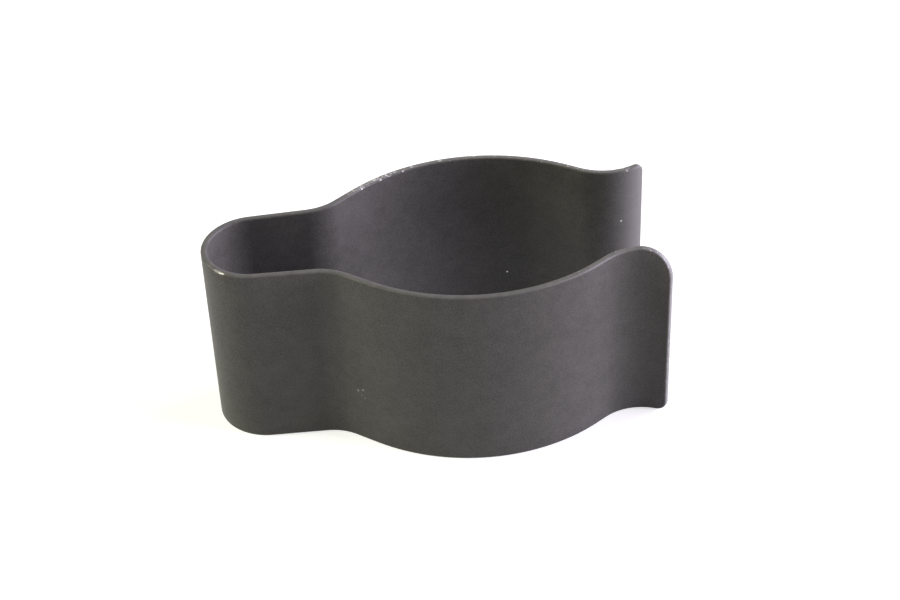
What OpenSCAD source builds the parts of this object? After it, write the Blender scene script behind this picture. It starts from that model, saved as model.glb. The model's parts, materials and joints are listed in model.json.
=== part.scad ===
// Wire clip: one strip of spring steel, bent on edge.
// A round loop holds the wires, two jaws snap over a tube, and two lips lead the tube in.
// The clip stands on the lower edge of the strip. The origin is on the axis of the gripped tube,
// level with that edge. +X points out of the mouth, and +Z runs along the tube.

/* [Strip] */
// Width of the strip, which is the height of the clip as it stands
strip_w = 19; // [10:0.5:30]
// Thickness of the strip
strip_t = 0.65; // [0.6:0.05:1.2]
// Rounding of the strip's edges
edge_r = 0.2; // [0.1:0.05:0.25]

/* [Loop] */
// Inside radius of the wire loop
loop_r = 4.2; // [2.5:0.1:8]

/* [Neck] */
// Length of each flat side of the neck
neck_len = 5.3; // [2:0.1:12]
// Angle by which each side of the neck opens towards the jaws
neck_flare = 2.1; // [0:0.1:6]

/* [Shoulders] */
// Inside radius of the bend from the neck out to the jaw
shoulder_r = 4.6; // [2:0.1:8]
// Angle of the bend from the neck out to the jaw
shoulder_angle = 36.2; // [30:0.1:45]
// Length of the flat between the shoulder and the jaw
shoulder_len = 2.5; // [0.5:0.1:6]

/* [Jaws] */
// Inside radius of each jaw
jaw_r = 16.9; // [12:0.1:24]
// Angle through which each jaw bends
jaw_angle = 73.2; // [62:0.1:80]
// Length of the flat between the jaw and the mouth
jaw_len = 1.3; // [0.5:0.1:4]

/* [Lips] */
// Inside radius of the bend from the mouth out to the lip
mouth_r = 4.9; // [3:0.1:8]
// Angle of the bend from the mouth out to the lip
mouth_angle = 61.3; // [45:0.1:75]
// Length of the flat tip of each lip
lip_len = 0.9; // [0.9:0.1:5]
// Radius of the lips' corners
corner_r = 0.8; // [0.5:0.1:0.8]
// Radius of the rounder upper corner of the front lip, on the -Y side
front_corner_r = 3.2; // [1.5:0.1:4]

/* [Hidden] */
$fn = 96;

// Each face of a bend lies this much inside the faces of the flats, as bending draws the metal thin
bend_thin = 0.001;
// Each bend runs on by this much into the flats beside it
bend_lap = 0.02;

// Radius of the strip's middle surface in a bend
function middle(inside_r) = inside_r + strip_t / 2;

// Angle of the strip to the clip's middle plane between the shoulder and the jaw
jaw_entry = neck_flare + shoulder_angle;
// Distance from the loop's centre to the tube's axis, where the jaws are widest
jaw_reach = neck_len * cos(neck_flare) - middle(loop_r) * sin(neck_flare)
    + middle(shoulder_r) * (sin(jaw_entry) - sin(neck_flare))
    + shoulder_len * cos(jaw_entry)
    + middle(jaw_r) * sin(jaw_entry);

// Flat outline of the strip's outer part, which ends in the rounded edge at X = depth
module rim(depth, thin = 0) {
    half_t = strip_t / 2 - thin;
    translate([0, -half_t]) square([depth - edge_r, 2 * half_t]);
    translate([0, edge_r - half_t]) square([depth, 2 * (half_t - edge_r)]);
    for (side = [-1, 1])
        translate([depth - edge_r, side * (half_t - edge_r)]) circle(edge_r);
}

// Section across the strip, its thickness along X and its width along +Y
module section(thin = 0) {
    for (turn = [90, -90])
        translate([0, strip_w / 2]) rotate(turn) rim(strip_w / 2 - thin, thin);
}

// Flat stretch along +X. Its children go on from its far end.
module flat(length) {
    rotate([90, 0, 90]) linear_extrude(length) section();
    translate([length, 0, 0]) children();
}

// Curved wall about the Z axis, from the X axis round to an angle, with a lap at either end
module curved_wall(inside_r, angle) {
    lap = sign(angle) * bend_lap / middle(inside_r) * 180 / PI;
    rotate(-lap)
        rotate_extrude(angle = angle + 2 * lap)
            translate([middle(inside_r), 0]) section(bend_thin);
}

// Place at the far end of a bend that leaves +X
module past_bend(inside_r, angle) {
    reach = sign(angle) * middle(inside_r);
    translate([0, reach, 0]) rotate(angle) translate([0, -reach, 0]) children();
}

// Bend that leaves +X, to the left for a positive angle. Its children go on from its far end.
module bend(inside_r, angle) {
    side = sign(angle);
    translate([0, side * middle(inside_r), 0]) rotate(-90 * side) curved_wall(inside_r, angle);
    past_bend(inside_r, angle) children();
}

// End of an arm, with rounded corners
module lip() {
    flat(lip_len - corner_r) {
        translate([0, 0, corner_r]) linear_extrude(strip_w - 2 * corner_r) rim(corner_r);
        for (flip = [0, 1])
            translate([0, 0, strip_w / 2]) mirror([0, 0, flip])
                translate([0, 0, strip_w / 2 - corner_r])
                    rotate([90, 0, 0]) rotate_extrude(angle = 90) rim(corner_r);
    }
}

// Metal that is cut away where a lip's upper corner is rounder
module corner_cut() {
    translate([lip_len - front_corner_r, 0, strip_w - front_corner_r])
        rotate([90, 0, 0])
            linear_extrude(8 * strip_t, center = true)
                difference() {
                    square(2 * front_corner_r);
                    circle(front_corner_r);
                }
}

// One side of the clip from the loop to the lip, folded in the order of the strip
module arm(rounder = false) {
    rotate(neck_flare) translate([0, middle(loop_r), 0])
    flat(neck_len)
    bend(shoulder_r, shoulder_angle)
    flat(shoulder_len)
    bend(jaw_r, -jaw_angle)
    flat(jaw_len)
    difference() {
        bend(mouth_r, mouth_angle) lip();
        if (rounder) past_bend(mouth_r, mouth_angle) corner_cut();
    }
}

// The whole strip: the loop, and an arm from each of its ends
module spring_clip() {
    color("#4a494b")
    translate([-jaw_reach, 0, 0]) {
        rotate(90 + neck_flare) curved_wall(loop_r, 180 - 2 * neck_flare);
        arm();
        mirror([0, 1, 0]) arm(rounder = true);
    }
}

spring_clip();
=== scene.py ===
"""Wire clip of phosphated spring steel, dressed for a studio picture.

The strip is made the way the real one is. A flat blank gets its round corners and edges, and is then
folded on edge, one bend after another, from the tips towards the middle of the loop. Lengths are in
millimetres, and a finished mesh is scaled to metres.
"""

import json
import logging
import math
from dataclasses import dataclass
from enum import Enum
from typing import Iterator, Union

import bmesh
import bpy
from mathutils import Matrix, Vector

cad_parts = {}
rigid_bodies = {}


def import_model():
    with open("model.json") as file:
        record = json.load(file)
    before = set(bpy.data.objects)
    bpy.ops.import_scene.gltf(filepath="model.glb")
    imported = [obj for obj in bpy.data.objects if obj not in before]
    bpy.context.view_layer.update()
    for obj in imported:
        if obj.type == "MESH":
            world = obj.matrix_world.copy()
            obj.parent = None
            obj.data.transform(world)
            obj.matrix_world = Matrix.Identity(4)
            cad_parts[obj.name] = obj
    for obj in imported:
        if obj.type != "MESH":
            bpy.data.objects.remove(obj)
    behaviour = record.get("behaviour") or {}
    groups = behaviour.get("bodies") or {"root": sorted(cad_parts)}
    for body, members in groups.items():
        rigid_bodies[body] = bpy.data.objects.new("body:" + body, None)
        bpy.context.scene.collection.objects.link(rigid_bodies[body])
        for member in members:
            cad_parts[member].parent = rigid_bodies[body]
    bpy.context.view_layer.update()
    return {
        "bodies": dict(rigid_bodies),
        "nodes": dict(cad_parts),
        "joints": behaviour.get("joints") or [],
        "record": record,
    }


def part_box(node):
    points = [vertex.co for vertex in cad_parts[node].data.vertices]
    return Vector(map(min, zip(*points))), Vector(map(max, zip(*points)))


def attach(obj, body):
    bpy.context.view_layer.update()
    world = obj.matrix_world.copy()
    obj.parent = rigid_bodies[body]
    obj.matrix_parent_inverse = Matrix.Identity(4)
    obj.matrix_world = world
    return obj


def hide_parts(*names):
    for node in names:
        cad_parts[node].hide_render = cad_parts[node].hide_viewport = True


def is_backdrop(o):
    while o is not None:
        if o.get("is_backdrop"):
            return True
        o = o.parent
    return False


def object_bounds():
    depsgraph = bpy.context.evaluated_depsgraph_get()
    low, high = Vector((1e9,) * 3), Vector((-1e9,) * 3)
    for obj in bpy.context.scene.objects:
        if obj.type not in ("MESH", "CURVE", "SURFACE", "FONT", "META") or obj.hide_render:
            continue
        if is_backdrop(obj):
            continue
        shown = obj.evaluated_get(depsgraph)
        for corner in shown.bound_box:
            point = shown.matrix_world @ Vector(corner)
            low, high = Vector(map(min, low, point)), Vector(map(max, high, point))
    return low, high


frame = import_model()

LOG = logging.getLogger("wire_clip")
MM = 0.001
NODE = "spring_clip"
BODY = "root"
LOOP_MOUNT = "wire_loop"
BLANK_PLACE = "blank_place"

# Distance within which a cut takes a point as lying on its plane
CUT_REACH = 1e-5
# Distance within which a point lies on a fold line
FOLD_REACH = 1e-4
# Share of a normal along the thickness, above which a face is a broad one
BROAD = 0.9

Socket = bpy.types.NodeSocket
Feed = Union[Socket, float]
Triple = tuple[float, float, float]
Colour = tuple[float, float, float, float]


class Turn(Enum):
    """Way that a bend turns the strip, followed from the loop to a lip."""

    INWARDS = 1
    OUTWARDS = -1


class Face(Enum):
    """Face of the strip, as a sign along the blank's thickness."""

    INNER = 1
    RIM = 0
    OUTER = -1


class Tint(Enum):
    """Colour of a lamp's light."""

    COOL = (0.875, 0.82, 1.0)
    WARM = (1.0, 0.99, 0.78)


@dataclass(frozen=True)
class Flat:
    """Straight stretch of one arm."""

    length: float


@dataclass(frozen=True)
class Bend:
    """Round stretch of one arm, sized along the strip's middle surface."""

    middle_r: float
    angle: float
    turn: Turn

    @property
    def length(self) -> float:
        """Length of the bend along the middle surface."""
        return self.middle_r * math.radians(self.angle)


Stretch = Union[Flat, Bend]


@dataclass(frozen=True)
class Station:
    """Line across the blank where it is folded, with the turn that it takes there in radians."""

    along: float
    turn: float


@dataclass(frozen=True)
class Chip:
    """Spot where the coat has come off, placed on the flat blank.

    along runs from the middle of the loop, towards the near arm if positive, and up is the height.
    """

    along: float
    up: float
    face: Face
    length: float
    height: float
    depth: float = 0.65
    brightness: float = 1.0


@dataclass(frozen=True)
class NodeSheet:
    """Node tree of a material or a world, with short calls for the nodes that the finishes use."""

    tree: bpy.types.NodeTree

    def find(self, kind: str) -> bpy.types.Node:
        """Gives the node of a type that the tree has from the start."""
        return next(node for node in self.tree.nodes if node.type == kind)

    def add(self, kind: str, **settings: object) -> bpy.types.Node:
        """Adds a node.

        Args:
            kind: Blender's type name of the node.
            **settings: Values of the node's own properties.

        Returns:
            The new node.
        """
        node = self.tree.nodes.new(kind)
        for name, value in settings.items():
            setattr(node, name, value)
        return node

    def feed(self, socket: Socket, value: object) -> None:
        """Links a socket to another one, or sets its value.

        Args:
            socket: Input to feed.
            value: An output socket, or a plain value.
        """
        if isinstance(value, Socket):
            self.tree.links.new(value, socket)
        else:
            socket.default_value = value

    def math(self, operation: str, first: Feed, second: Feed = 0.0, clamp: bool = False) -> Socket:
        """Adds a sum of two numbers.

        Args:
            operation: Blender's name of the sum.
            first: First number.
            second: Second number, where the sum has one.
            clamp: Whether the result is kept from 0 to 1.

        Returns:
            The result.
        """
        node = self.add("ShaderNodeMath", operation=operation, use_clamp=clamp)
        self.feed(node.inputs[0], first)
        self.feed(node.inputs[1], second)
        return node.outputs[0]

    def ramp(
        self, value: Feed, low: float, high: float, to_low: float = 0.0, to_high: float = 1.0
    ) -> Socket:
        """Maps a number smoothly from one range to another, and holds it at the ends.

        Args:
            value: Number to map.
            low: Value that becomes to_low.
            high: Value that becomes to_high.
            to_low: Result at low.
            to_high: Result at high.

        Returns:
            The mapped number.
        """
        node = self.add("ShaderNodeMapRange", interpolation_type="SMOOTHSTEP")
        for socket, given in zip(node.inputs, (value, low, high, to_low, to_high)):
            self.feed(socket, given)
        return node.outputs[0]

    def noise(self, place: Socket, size: float, detail: float = 2.0) -> Socket:
        """Adds a cloudy pattern.

        Args:
            place: Coordinates in millimetres.
            size: Width of its clouds in millimetres.
            detail: Number of finer layers.

        Returns:
            The pattern, from 0 to 1 with 0.5 as its middle.
        """
        node = self.add("ShaderNodeTexNoise")
        self.feed(node.inputs["Vector"], place)
        self.feed(node.inputs["Scale"], 1.0 / size)
        self.feed(node.inputs["Detail"], detail)
        return node.outputs[0]

    def mix(self, share: Feed, first: object, second: object) -> Socket:
        """Mixes two colours.

        Args:
            share: Share of the second colour.
            first: First colour.
            second: Second colour.

        Returns:
            The mixed colour.
        """
        node = self.add("ShaderNodeMix", data_type="RGBA")
        colours = [socket for socket in node.inputs if socket.type == "RGBA"]
        self.feed(node.inputs[0], share)
        self.feed(colours[0], first)
        self.feed(colours[1], second)
        return next(socket for socket in node.outputs if socket.type == "RGBA")

    def between(self, share: Feed, first: Feed, second: Feed) -> Socket:
        """Mixes two numbers.

        Args:
            share: Share of the second number.
            first: First number.
            second: Second number.

        Returns:
            The mixed number.
        """
        node = self.add("ShaderNodeMix", data_type="FLOAT")
        plain = [socket for socket in node.inputs if socket.type == "VALUE"]
        numbers = [socket for socket in plain if socket.name in ("A", "B")]
        self.feed(node.inputs[0], share)
        self.feed(numbers[0], first)
        self.feed(numbers[1], second)
        return node.outputs[0]

    def split(self, place: Socket) -> tuple[Socket, ...]:
        """Gives the three parts of a vector."""
        node = self.add("ShaderNodeSeparateXYZ")
        self.feed(node.inputs[0], place)
        return tuple(node.outputs)

    def length(self, vector: Socket) -> Socket:
        """Gives the length of a vector."""
        node = self.add("ShaderNodeVectorMath", operation="LENGTH")
        self.feed(node.inputs[0], vector)
        return node.outputs["Value"]


@dataclass(frozen=True)
class PhosphateFinish:
    """Dark phosphate coat on spring steel, worn along the edges and chipped to bare metal in places, with
    painted highlights on the rims and lips.

    Sizes, widths and depths are in millimetres on the flat blank.
    """

    name: str = "phosphate_steel"

    # Colours, gloss and roughness
    coat_dark: Colour = (0.028, 0.0270, 0.0247, 1.0)
    coat_pale: Colour = (0.096, 0.0927, 0.0851, 1.0)
    # Pale colour of worn edges, which also paints the highlights on the rims and inside the lips
    rub_and_highlight_colour: Colour = (0.250, 0.247, 0.237, 1.0)
    bare: Colour = (0.600, 0.598, 0.585, 1.0)
    coat_gloss: float = 0.30
    coat_roughness: float = 0.50
    roughness_spread: float = 0.05
    rub_and_highlight_roughness: float = 0.42
    bare_roughness: float = 0.30

    # Patterns of the coat, with their shares in its tone
    cloud_size: float = 3.0
    cloud_share: float = 0.35
    mottle_size: float = 0.9
    mottle_detail: float = 3.0
    mottle_share: float = 0.45
    crystal_size: float = 0.15
    crystal_low: float = 0.2
    crystal_high: float = 0.8
    crystal_share: float = 1.20
    crystal_depth: float = 0.004

    # Rubbing along the rim, partly painted highlight, and a painted highlight inside the lips
    rim_band_width: float = 0.18
    rim_rub_and_highlight_least: float = 0.36
    rim_rub_and_highlight_most: float = 0.95
    rub_and_highlight_base: float = 0.5
    inner_rub_and_highlight: float = 0.05
    inner_reach: float = 0.25
    wear_tail: float = 0.4
    lip_highlight: float = 0.5

    # Specks and chips of bare metal
    speck_size: float = 0.16
    speck_detail: float = 1.0
    speck_patch: float = 1.6
    speck_patch_share: float = 0.2
    speck_level: float = 0.88
    speck_edge: float = 0.04
    speck_gain: float = 0.20
    ragged_size: float = 0.25
    chip_core: float = 1.2
    chip_end: float = 1.7
    chip_depth: float = 0.02

    def rim_nearness(self, sheet: NodeSheet, place: Socket, strip: "SpringStrip") -> Socket:
        """Measures how near a point lies to the blank's outline.

        Args:
            sheet: Node tree of the material.
            place: Coordinates on the blank.
            strip: Strip that gives the outline.

        Returns:
            1 at the outline, falling to 0 at rim_band_width inside it.
        """
        along, _, up = sheet.split(place)
        up = sheet.math("SUBTRACT", up, strip.width / 2)
        on_top = sheet.math("GREATER_THAN", up, 0.0)
        at_front = sheet.math("GREATER_THAN", along, 0.0)
        front_r = sheet.between(on_top, strip.front_low_corner_r, strip.front_corner_r)
        corner_r = sheet.between(at_front, strip.corner_r, front_r)
        past = sheet.add("ShaderNodeCombineXYZ")
        halves = (strip.half_length, strip.width / 2)
        for socket, from_middle, half in zip(past.inputs, (along, up), halves):
            inset = sheet.math("SUBTRACT", sheet.math("ABSOLUTE", from_middle), half)
            sheet.feed(socket, sheet.math("MAXIMUM", sheet.math("ADD", inset, corner_r), 0.0))
        outwards = sheet.math("SUBTRACT", sheet.length(past.outputs[0]), corner_r)
        return sheet.ramp(outwards, -self.rim_band_width, 0.0)

    def spared(self, sheet: NodeSheet, place: Socket, strip: "SpringStrip") -> Socket:
        """Spares the inner edge, which hands and tools reach least, from most of the rubbing and its
        painted highlight.

        Args:
            sheet: Node tree of the material.
            place: Coordinates on the blank.
            strip: Strip that gives the edge.

        Returns:
            Share of the rubbing and painted highlight that is left.
        """
        _, deep, _ = sheet.split(place)
        turn = (strip.thickness - strip.edge_r) / 2
        reach = strip.edge_r * self.inner_reach
        return sheet.ramp(deep, turn - reach, turn + reach, 1.0, self.inner_rub_and_highlight)

    def painted_lip_highlight(self, sheet: NodeSheet, place: Socket, strip: "SpringStrip") -> Socket:
        """Paints a highlight on the inner face of each lip, lightest at the tip, for the light that falls
        there.

        Args:
            sheet: Node tree of the material.
            place: Coordinates on the blank.
            strip: Strip that gives the lips.

        Returns:
            Share of the painted highlight.
        """
        along, deep, _ = sheet.split(place)
        from_middle = sheet.math("ABSOLUTE", along)
        tip = strip.half_length
        near_tip = sheet.ramp(from_middle, tip - strip.lip_highlight_reach, tip, 0.0, self.lip_highlight)
        return sheet.math("MULTIPLY", near_tip, sheet.math("GREATER_THAN", deep, 0.0))

    def chipped(self, sheet: NodeSheet, place: Socket, strip: "SpringStrip") -> Socket:
        """Marks the single chips that the strip has.

        Args:
            sheet: Node tree of the material.
            place: Coordinates on the blank.
            strip: Strip that gives the chips.

        Returns:
            A chip's brightness inside it, and 0 elsewhere.
        """
        ragged = sheet.noise(place, self.ragged_size)
        found: Feed = 0.0
        for chip in strip.chips:
            centre = Vector((chip.along, chip.face.value * strip.thickness / 2, chip.up))
            scale = Vector((2 / chip.length, 2 / chip.depth, 2 / chip.height))
            mapping = sheet.add("ShaderNodeMapping")
            sheet.feed(mapping.inputs["Vector"], place)
            sheet.feed(mapping.inputs["Location"], -centre * scale)
            sheet.feed(mapping.inputs["Scale"], scale)
            uneven = sheet.math("ADD", sheet.length(mapping.outputs[0]), ragged)
            inside = sheet.ramp(uneven, self.chip_end, self.chip_core)
            shown = sheet.math("MULTIPLY", inside, chip.brightness)
            found = sheet.math("MAXIMUM", found, shown)
        return found

    def worn(self, sheet: NodeSheet, place: Socket, strip: "SpringStrip") -> Socket:
        """Measures the wear along the strip, most at the far shoulder and less towards both lips.

        Args:
            sheet: Node tree of the material.
            place: Coordinates on the blank.
            strip: Strip that gives the worn stretch.

        Returns:
            The wear, from 0 to 1.
        """
        along, _, _ = sheet.split(place)
        begun = sheet.ramp(along, strip.wear_start, strip.wear_heart)
        fading = sheet.ramp(along, strip.wear_end, strip.wear_heart, self.wear_tail, 1.0)
        far = sheet.math("MULTIPLY", begun, fading)
        near = sheet.ramp(along, -strip.wear_end, strip.half_length, 0.0, self.wear_tail)
        return sheet.math("MAXIMUM", far, near)

    def specked(self, sheet: NodeSheet, place: Socket, rim: Socket, wear: Socket) -> Socket:
        """Marks the specks of bare metal along the edges, thickest where the strip is worn most.

        Args:
            sheet: Node tree of the material.
            place: Coordinates on the blank.
            rim: Nearness to the outline.
            wear: Wear along the strip.

        Returns:
            1 in a speck, and 0 elsewhere.
        """
        specks = sheet.noise(place, self.speck_size, self.speck_detail)
        patches = sheet.noise(place, self.speck_patch, self.speck_detail)
        raised = sheet.math("ADD", specks, sheet.math("MULTIPLY", patches, self.speck_patch_share))
        raised = sheet.math("ADD", raised, sheet.math("MULTIPLY", wear, self.speck_gain))
        shown = sheet.ramp(raised, self.speck_level, self.speck_level + self.speck_edge)
        return sheet.math("MULTIPLY", shown, rim)

    def material(self, strip: "SpringStrip") -> bpy.types.Material:
        """Makes the finish for one strip.

        Args:
            strip: Strip that the finish goes on.

        Returns:
            The material.
        """
        made = bpy.data.materials.new(self.name)
        made.use_nodes = True
        sheet = NodeSheet(made.node_tree)
        shader = sheet.find("BSDF_PRINCIPLED")
        place = sheet.add("ShaderNodeAttribute", attribute_name=BLANK_PLACE).outputs["Vector"]

        # The patterns' middles are taken off, so that the tone's own middle stays at 0.5
        mottle = sheet.noise(place, self.mottle_size, self.mottle_detail)
        crystals = sheet.noise(place, self.crystal_size)
        tone = sheet.math("MULTIPLY", sheet.noise(place, self.cloud_size), self.cloud_share)
        tone = sheet.math("ADD", tone, sheet.math("MULTIPLY", mottle, self.mottle_share))
        tone = sheet.math("ADD", tone, sheet.math("MULTIPLY", crystals, self.crystal_share))
        shares = self.cloud_share + self.mottle_share + self.crystal_share
        tone = sheet.math("SUBTRACT", tone, (shares - 1) / 2, clamp=True)

        rim = self.rim_nearness(sheet, place, strip)
        wear = self.worn(sheet, place, strip)
        # The rim's pale band is partly wear and partly a painted highlight for the light on the top edges
        rub_and_highlight = sheet.math("MULTIPLY", rim, sheet.between(wear, self.rim_rub_and_highlight_least, self.rim_rub_and_highlight_most))
        rub_and_highlight = sheet.math("MULTIPLY", rub_and_highlight, sheet.math("ADD", mottle, self.rub_and_highlight_base))
        rub_and_highlight = sheet.math("MULTIPLY", rub_and_highlight, self.spared(sheet, place, strip))
        # Painted highlight on the inner faces of the lips, lighter towards the tips
        rub_and_highlight = sheet.math("MAXIMUM", rub_and_highlight, self.painted_lip_highlight(sheet, place, strip))
        specks = self.specked(sheet, place, rim, wear)
        bare = sheet.math("MAXIMUM", self.chipped(sheet, place, strip), specks)

        colour = sheet.mix(tone, self.coat_dark, self.coat_pale)
        colour = sheet.mix(rub_and_highlight, colour, self.rub_and_highlight_colour)
        sheet.feed(shader.inputs["Base Color"], sheet.mix(bare, colour, self.bare))
        rough = self.coat_roughness + self.roughness_spread
        smooth = self.coat_roughness - self.roughness_spread
        coat = sheet.ramp(crystals, self.crystal_low, self.crystal_high, rough, smooth)
        roughness = sheet.between(rub_and_highlight, coat, self.rub_and_highlight_roughness)
        sheet.feed(shader.inputs["Roughness"], sheet.between(bare, roughness, self.bare_roughness))
        sheet.feed(shader.inputs["Specular IOR Level"], self.coat_gloss)
        sheet.feed(shader.inputs["Metallic"], bare)

        # Heights are in metres, so the bump takes them as they are
        height = sheet.math("MULTIPLY", crystals, self.crystal_depth * MM)
        height = sheet.math("SUBTRACT", height, sheet.math("MULTIPLY", bare, self.chip_depth * MM))
        bump = sheet.add("ShaderNodeBump")
        sheet.feed(bump.inputs["Height"], height)
        sheet.feed(bump.inputs["Distance"], 1.0)
        sheet.feed(shader.inputs["Normal"], bump.outputs[0])
        return made


@dataclass(frozen=True)
class SpringStrip:
    """The whole clip: one strip with a loop in its middle, and two jaws with flared lips.

    Radii of bends are those of the inside, and angles are in degrees. Places along the strip run from the
    middle of the loop, towards the near arm if positive. The front lip is the near arm's.
    """

    width: float
    loop_r: float
    loop_centre: float
    thickness: float = 0.65
    edge_r: float = 0.2
    neck_len: float = 5.3
    neck_flare: float = 2.1
    shoulder_r: float = 4.6
    shoulder_bend: float = 36.2
    shoulder_len: float = 2.5
    jaw_r: float = 16.9
    jaw_bend: float = 73.2
    jaw_len: float = 1.3
    mouth_r: float = 4.9
    mouth_bend: float = 61.3
    lip_len: float = 0.9
    tip_curl: float = 14.0
    corner_r: float = 0.8
    front_corner_r: float = 3.2
    front_low_corner_r: float = 1.05

    # Fineness of the mesh
    bend_step: float = 2.5
    corner_segments: int = 16
    rim_segments: int = 5
    rows: int = 8
    normal_weight: int = 50

    # Places of the wear, and the reach of the painted highlight on the lips
    lip_highlight_reach: float = 4.0
    wear_start: float = -15.5
    wear_heart: float = -18.5
    wear_end: float = -28.0
    chips: tuple[Chip, ...] = (
        Chip(along=3.6, up=18.95, face=Face.OUTER, length=1.2, height=0.35, depth=0.5, brightness=0.25),
        Chip(along=3.95, up=18.93, face=Face.OUTER, length=0.6, height=0.28, depth=0.4, brightness=0.5),
        Chip(along=-17.7, up=19.0, face=Face.RIM, length=0.25, height=0.3, depth=0.3, brightness=0.6),
        Chip(along=-18.6, up=19.0, face=Face.INNER, length=0.3, height=0.35, depth=0.5, brightness=0.65),
        Chip(along=-20.3, up=19.0, face=Face.RIM, length=0.35, height=0.3, depth=0.4, brightness=0.9),
        Chip(along=-20.9, up=19.0, face=Face.INNER, length=0.3, height=0.3, depth=0.4, brightness=0.6),
        Chip(along=-22.6, up=19.0, face=Face.RIM, length=0.3, height=0.3, depth=0.3, brightness=0.7),
        Chip(along=-23.4, up=19.0, face=Face.INNER, length=0.25, height=0.3, depth=0.4, brightness=0.7),
        Chip(along=-24.4, up=19.0, face=Face.RIM, length=0.3, height=0.3, depth=0.3, brightness=0.8),
        Chip(along=-27.3, up=19.0, face=Face.RIM, length=0.45, height=0.3, depth=0.3, brightness=0.7),
        Chip(along=-30.65, up=19.0, face=Face.OUTER, length=0.35, height=0.5, brightness=0.9),
        Chip(along=-40.0, up=19.0, face=Face.RIM, length=0.25, height=0.3, depth=0.3, brightness=0.5),
        Chip(along=-45.8, up=19.0, face=Face.INNER, length=0.25, height=0.35, depth=0.4, brightness=0.4),
        # Painted glint: a small bright dot on the far lip's inner face, drawn as a chip
        Chip(along=-45.3, up=13.19, face=Face.INNER, length=0.20, height=0.22, brightness=0.7),
        Chip(along=-33.7, up=5.3, face=Face.INNER, length=0.17, height=0.17),
        Chip(along=15.98, up=5.82, face=Face.OUTER, length=0.25, height=0.27, brightness=0.3),
        Chip(along=16.52, up=6.06, face=Face.OUTER, length=0.25, height=0.25, brightness=0.27),
        Chip(along=16.37, up=5.37, face=Face.OUTER, length=0.25, height=0.22, brightness=0.12),
        Chip(along=16.69, up=5.21, face=Face.OUTER, length=0.25, height=0.22, brightness=0.12),
    )

    @classmethod
    def from_frame(cls, packed: dict) -> "SpringStrip":
        """Takes the strip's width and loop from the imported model.


        Returns:
            The strip.
        """
        low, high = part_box(NODE)
        loop = next(mount for mount in packed["record"]["mounts"] if mount["name"] == LOOP_MOUNT)
        return cls(
            width=(high.z - low.z) / MM,
            loop_r=loop["dims"]["r_mm"],
            loop_centre=loop["pos_m"][0] / MM,
        )

    def middle(self, inside_r: float) -> float:
        """Gives the middle surface's radius in a bend."""
        return inside_r + self.thickness / 2

    def arm(self) -> list[Stretch]:
        """Lists the stretches of one arm, from the middle of the loop to the lip."""
        return [
            Bend(self.middle(self.loop_r), 90 - self.neck_flare, Turn.INWARDS),
            Flat(self.neck_len),
            Bend(self.middle(self.shoulder_r), self.shoulder_bend, Turn.OUTWARDS),
            Flat(self.shoulder_len),
            Bend(self.middle(self.jaw_r), self.jaw_bend, Turn.INWARDS),
            Flat(self.jaw_len),
            Bend(self.middle(self.mouth_r), self.mouth_bend, Turn.OUTWARDS),
            Bend(self.lip_len / math.radians(self.tip_curl), self.tip_curl, Turn.OUTWARDS),
        ]

    @property
    def half_length(self) -> float:
        """Length of the flat blank from its middle to a tip."""
        return sum(stretch.length for stretch in self.arm())

    def stations(self) -> Iterator[Station]:
        """Walks along one arm and gives its fold lines.

        Each bend turns by even steps, with half a step at either end, so that its fold lines lie on
        its arc.

        Yields:
            The fold lines, from the loop to the lip.
        """
        start = 0.0
        for stretch in self.arm():
            if isinstance(stretch, Bend):
                steps = math.ceil(stretch.angle / self.bend_step)
                step = math.radians(stretch.angle) / steps * stretch.turn.value
                for index in range(steps + 1):
                    share = 0.5 if index in (0, steps) else 1.0
                    yield Station(start + stretch.length * index / steps, step * share)
            start += stretch.length

    def cut_blank(self, bm: bmesh.types.BMesh) -> None:
        """Cuts the flat blank, with its middle at X = 0, its thickness along Y and its width along +Z.

        Args:
            bm: Empty mesh to cut it in.
        """
        size = Vector((2 * self.half_length, self.thickness, self.width))
        bmesh.ops.create_cube(bm, size=1.0)
        bmesh.ops.scale(bm, vec=size, verts=bm.verts)
        bmesh.ops.translate(bm, vec=(0.0, 0.0, self.width / 2), verts=bm.verts)
        corners = [edge for edge in bm.edges if edge.verts[0].co.y != edge.verts[1].co.y]
        front = [edge for edge in corners if edge.verts[0].co.x > 0]
        for edges, radius in (
            ([edge for edge in corners if edge not in front], self.corner_r),
            ([edge for edge in front if edge.verts[0].co.z < self.width / 2], self.front_low_corner_r),
            ([edge for edge in front if edge.verts[0].co.z > self.width / 2], self.front_corner_r),
        ):
            self.round_off(bm, edges, radius, self.corner_segments)
        broad = [face for face in bm.faces if abs(face.normal.y) > BROAD]
        rims = list(dict.fromkeys(edge for face in broad for edge in face.edges))
        self.round_off(bm, rims, self.edge_r, self.rim_segments)

    @staticmethod
    def round_off(
        bm: bmesh.types.BMesh, edges: list[bmesh.types.BMEdge], radius: float, segments: int
    ) -> None:
        """Rounds some edges of a mesh.

        Args:
            bm: Mesh to change.
            edges: Edges to round.
            radius: Radius of the rounding.
            segments: Number of faces across it.
        """
        bmesh.ops.bevel(
            bm,
            geom=edges,
            offset=radius,
            offset_type="OFFSET",
            segments=segments,
            profile=0.5,
            affect="EDGES",
            clamp_overlap=False,
            material=-1,
        )

    def score_blank(self, bm: bmesh.types.BMesh) -> None:
        """Cuts the blank's faces along each fold line and into rows, and keeps each point's flat place.

        Args:
            bm: Mesh that holds the blank.
        """
        heights = [self.width * row / self.rows for row in range(1, self.rows)]
        planes = [((0.0, 0.0, height), (0, 0, 1)) for height in heights]
        for station in self.stations():
            for side in (-1, 1):
                planes.append(((side * station.along, 0.0, 0.0), (1, 0, 0)))
        for point, normal in planes:
            everything = bm.verts[:] + bm.edges[:] + bm.faces[:]
            bmesh.ops.bisect_plane(bm, geom=everything, dist=CUT_REACH, plane_co=point, plane_no=normal)
        layer = bm.verts.layers.float_vector.new(BLANK_PLACE)
        for vert in bm.verts:
            vert[layer] = vert.co

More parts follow.
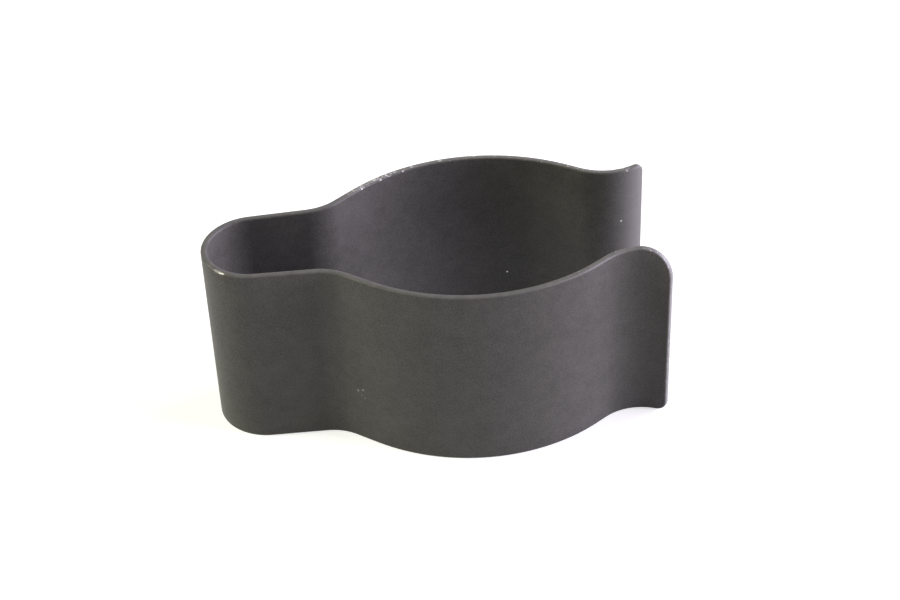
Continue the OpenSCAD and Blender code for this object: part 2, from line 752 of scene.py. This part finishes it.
    def fold(self, bm: bmesh.types.BMesh) -> None:
        """Folds both arms, from the tips to the middle, so that each fold line is still in its flat place.

        Args:
            bm: Mesh that holds the scored blank.
        """
        layer = bm.verts.layers.float_vector[BLANK_PLACE]
        for side in (-1, 1):
            for station in reversed(list(self.stations())):
                along = {vert: side * vert[layer].x - station.along for vert in bm.verts}
                beyond = [vert for vert, past in along.items() if past > FOLD_REACH]
                on_line = [vert for vert, past in along.items() if abs(past) <= FOLD_REACH]
                hinge = (side * station.along, 0.0, 0.0)
                for verts, share in ((beyond, 1.0), (on_line, 0.5)):
                    turn = Matrix.Rotation(side * station.turn * share, 3, "Z")
                    bmesh.ops.rotate(bm, cent=hinge, matrix=turn, verts=verts)

    def build(self) -> bpy.types.Object:
        """Makes the folded strip in its place.

        Returns:
            The strip's object.
        """
        bm = bmesh.new()
        self.cut_blank(bm)
        self.score_blank(bm)
        self.fold(bm)
        loop_end = self.loop_centre - self.middle(self.loop_r)
        quarter = Matrix.Rotation(-math.pi / 2, 3, "Z")
        bmesh.ops.rotate(bm, cent=(0, 0, 0), matrix=quarter, verts=bm.verts)
        bmesh.ops.translate(bm, vec=(loop_end, 0.0, 0.0), verts=bm.verts)
        bmesh.ops.scale(bm, vec=(MM, MM, MM), verts=bm.verts)
        for face in bm.faces:
            face.smooth = True
        strip = mesh_object("spring_strip", bm)
        shading = strip.modifiers.new("even_shading", "WEIGHTED_NORMAL")
        shading.weight = self.normal_weight
        return strip

    def dress(self, strip: bpy.types.Object, finish: PhosphateFinish) -> None:
        """Gives the strip its finish, and sets it in the frame in place of its solid.

        Args:
            strip: The strip's object.
            finish: Finish of the steel.
        """
        strip.data.materials.append(finish.material(self))
        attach(strip, BODY)
        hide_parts(NODE)


@dataclass(frozen=True)
class Lamp:
    """Soft round lamp, placed by the direction that it shines from and aimed at the clip.

    Its power is in watts, its angles are in degrees, and its distance and size are in metres.
    """

    name: str
    azimuth: float
    elevation: float
    power: float
    tint: Tint
    distance: float = 0.8
    size: float = 0.45

    def build(self, target: Vector) -> bpy.types.Object:
        """Makes the lamp.

        Args:
            target: Point that it shines at, in metres.

        Returns:
            The lamp's object.
        """
        light = bpy.data.lights.new(self.name, "AREA")
        light.shape = "DISK"
        light.size = self.size
        light.energy = self.power
        light.color = self.tint.value
        lamp = add_object(self.name, light)
        back = direction(self.azimuth, self.elevation)
        lamp.location = target + back * self.distance
        lamp.rotation_mode = "QUATERNION"
        lamp.rotation_quaternion = (-back).to_track_quat("-Z", "Y")
        return lamp


@dataclass(frozen=True)
class PictureCamera:
    """Camera at the picture's viewing angle. Its focal length is in pixels of a picture 900 wide."""

    azimuth: float = -5.73
    elevation: float = 37.71
    roll: float = -2.42
    distance: float = 191.203
    aim: Triple = (-2.619, 1.101, 9.5)
    focal_pixels: float = 1997.16
    picture_width: float = 900.0
    sensor_width: float = 36.0
    nearest: float = 10.0
    farthest: float = 100000.0

    def build(self) -> bpy.types.Object:
        """Makes the camera, and has the scene look through it.

        Returns:
            The camera's object.
        """
        data = bpy.data.cameras.new("picture_camera")
        data.sensor_width = self.sensor_width
        data.lens = self.sensor_width * self.focal_pixels / self.picture_width
        data.clip_start = self.nearest * MM
        data.clip_end = self.farthest * MM
        camera = add_object("picture_camera", data)
        back = direction(self.azimuth, self.elevation)
        right = Vector((0.0, 0.0, 1.0)).cross(back).normalized()
        upright = Matrix((right, back.cross(right), back)).transposed()
        turned = upright @ Matrix.Rotation(math.radians(self.roll), 3, "Z")
        place = Vector(self.aim) * MM + back * self.distance * MM
        camera.matrix_world = Matrix.Translation(place) @ turned.to_4x4()
        bpy.context.scene.camera = camera
        return camera


@dataclass(frozen=True)
class Studio:
    """Pale floor, white surround and soft lamps."""

    floor_half: float = 3000.0
    floor_drop: float = 0.01
    floor_colour: Colour = (0.80, 0.80, 0.80, 1.0)
    floor_lift: float = 0.64
    ambient: Colour = (0.02, 0.02, 0.02, 1.0)
    surround: Colour = (1.0, 1.0, 1.0, 1.0)
    lamps: tuple[Lamp, ...] = (
        Lamp("key_right", azimuth=75.0, elevation=12.0, power=10.8, tint=Tint.COOL),
        Lamp("side_right", azimuth=105.0, elevation=12.0, power=7.4, tint=Tint.COOL),
        Lamp("fill_left", azimuth=-90.0, elevation=30.0, power=5.3, tint=Tint.WARM),
    )

    def seen_directly(self, sheet: NodeSheet) -> Socket:
        """Tells rays that show the surround from rays that light the clip.

        Args:
            sheet: Node tree that asks.

        Returns:
            1 for camera, glossy and transmission rays, and 0 for the rest.
        """
        path = sheet.add("ShaderNodeLightPath").outputs
        mirrored = sheet.math("MAXIMUM", path["Is Glossy Ray"], path["Is Transmission Ray"])
        return sheet.math("MAXIMUM", path["Is Camera Ray"], mirrored)

    def build_floor(self) -> bpy.types.Object:
        """Makes the floor just under the clip.

        Returns:
            The floor's object.
        """
        bm = bmesh.new()
        bmesh.ops.create_grid(bm, x_segments=1, y_segments=1, size=self.floor_half * MM)
        bmesh.ops.translate(bm, vec=(0.0, 0.0, -self.floor_drop * MM), verts=bm.verts)
        floor = mesh_object("floor", bm)
        floor.data.materials.append(self.floor_material())
        floor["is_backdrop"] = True
        return floor

    def floor_material(self) -> bpy.types.Material:
        """Makes a matt floor that looks white and still takes a shadow.

        Returns:
            The floor's material.
        """
        made = bpy.data.materials.new("pale_floor")
        made.use_nodes = True
        sheet = NodeSheet(made.node_tree)
        sheet.tree.nodes.remove(sheet.find("BSDF_PRINCIPLED"))
        matt = sheet.add("ShaderNodeBsdfDiffuse")
        sheet.feed(matt.inputs["Color"], self.floor_colour)
        lift = sheet.add("ShaderNodeEmission")
        strength = sheet.math("MULTIPLY", self.seen_directly(sheet), self.floor_lift)
        sheet.feed(lift.inputs["Strength"], strength)
        both = sheet.add("ShaderNodeAddShader")
        sheet.feed(both.inputs[0], matt.outputs[0])
        sheet.feed(both.inputs[1], lift.outputs[0])
        sheet.feed(sheet.find("OUTPUT_MATERIAL").inputs["Surface"], both.outputs[0])
        return made

    def build_world(self) -> None:
        """Makes a surround that is white to look at and lights the clip softly from all sides."""
        world = bpy.data.worlds.new("white_surround")
        world.use_nodes = True
        bpy.context.scene.world = world
        sheet = NodeSheet(world.node_tree)
        soft = sheet.find("BACKGROUND")
        sheet.feed(soft.inputs["Color"], self.ambient)
        white = sheet.add("ShaderNodeBackground")
        sheet.feed(white.inputs["Color"], self.surround)
        choice = sheet.add("ShaderNodeMixShader")
        sheet.feed(choice.inputs[0], self.seen_directly(sheet))
        sheet.feed(choice.inputs[1], soft.outputs[0])
        sheet.feed(choice.inputs[2], white.outputs[0])
        sheet.feed(sheet.find("OUTPUT_WORLD").inputs["Surface"], choice.outputs[0])

    def build(self, target: Vector) -> None:
        """Makes the whole studio.

        Args:
            target: Point that the lamps shine at, in metres.
        """
        self.build_floor()
        self.build_world()
        for lamp in self.lamps:
            lamp.build(target)
            LOG.info("lamp %s: %.1f W", lamp.name, lamp.power)
        bpy.context.scene.view_settings.view_transform = "Standard"


def direction(azimuth: float, elevation: float) -> Vector:
    """Gives the way from the clip to a point round it.

    Args:
        azimuth: Angle round the clip in degrees: 0 is at -Y, and 90 at +X.
        elevation: Angle above the floor in degrees.

    Returns:
        The unit vector.
    """
    turn = math.radians(azimuth)
    rise = math.radians(elevation)
    return Vector((math.sin(turn) * math.cos(rise), -math.cos(turn) * math.cos(rise), math.sin(rise)))


def add_object(name: str, data: bpy.types.ID) -> bpy.types.Object:
    """Makes an object and links it to the scene.

    Args:
        name: Name of the object.
        data: Its mesh, lamp or camera.

    Returns:
        The object.
    """
    made = bpy.data.objects.new(name, data)
    bpy.context.scene.collection.objects.link(made)
    return made


def mesh_object(name: str, bm: bmesh.types.BMesh) -> bpy.types.Object:
    """Makes an object of a finished mesh, and frees the mesh that it was built in.

    Args:
        name: Name of the object and of its mesh.
        bm: Mesh in metres.

    Returns:
        The object.
    """
    mesh = bpy.data.meshes.new(name)
    bm.to_mesh(mesh)
    bm.free()
    return add_object(name, mesh)


def main() -> None:
    """Builds the clip and its studio, in order, and reports each piece."""
    logging.basicConfig(level=logging.INFO, format="%(name)s: %(message)s")
    strip = SpringStrip.from_frame(frame)
    piece = strip.build()
    faces = len(piece.data.polygons)
    LOG.info("%s: %d faces, blank %.1f mm long", piece.name, faces, 2 * strip.half_length)
    strip.dress(piece, PhosphateFinish())
    camera = PictureCamera().build()
    LOG.info("%s: %.1f mm lens", camera.name, camera.data.lens)
    low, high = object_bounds()
    Studio().build((low + high) / 2)


if __name__ == "__main__":
    main()
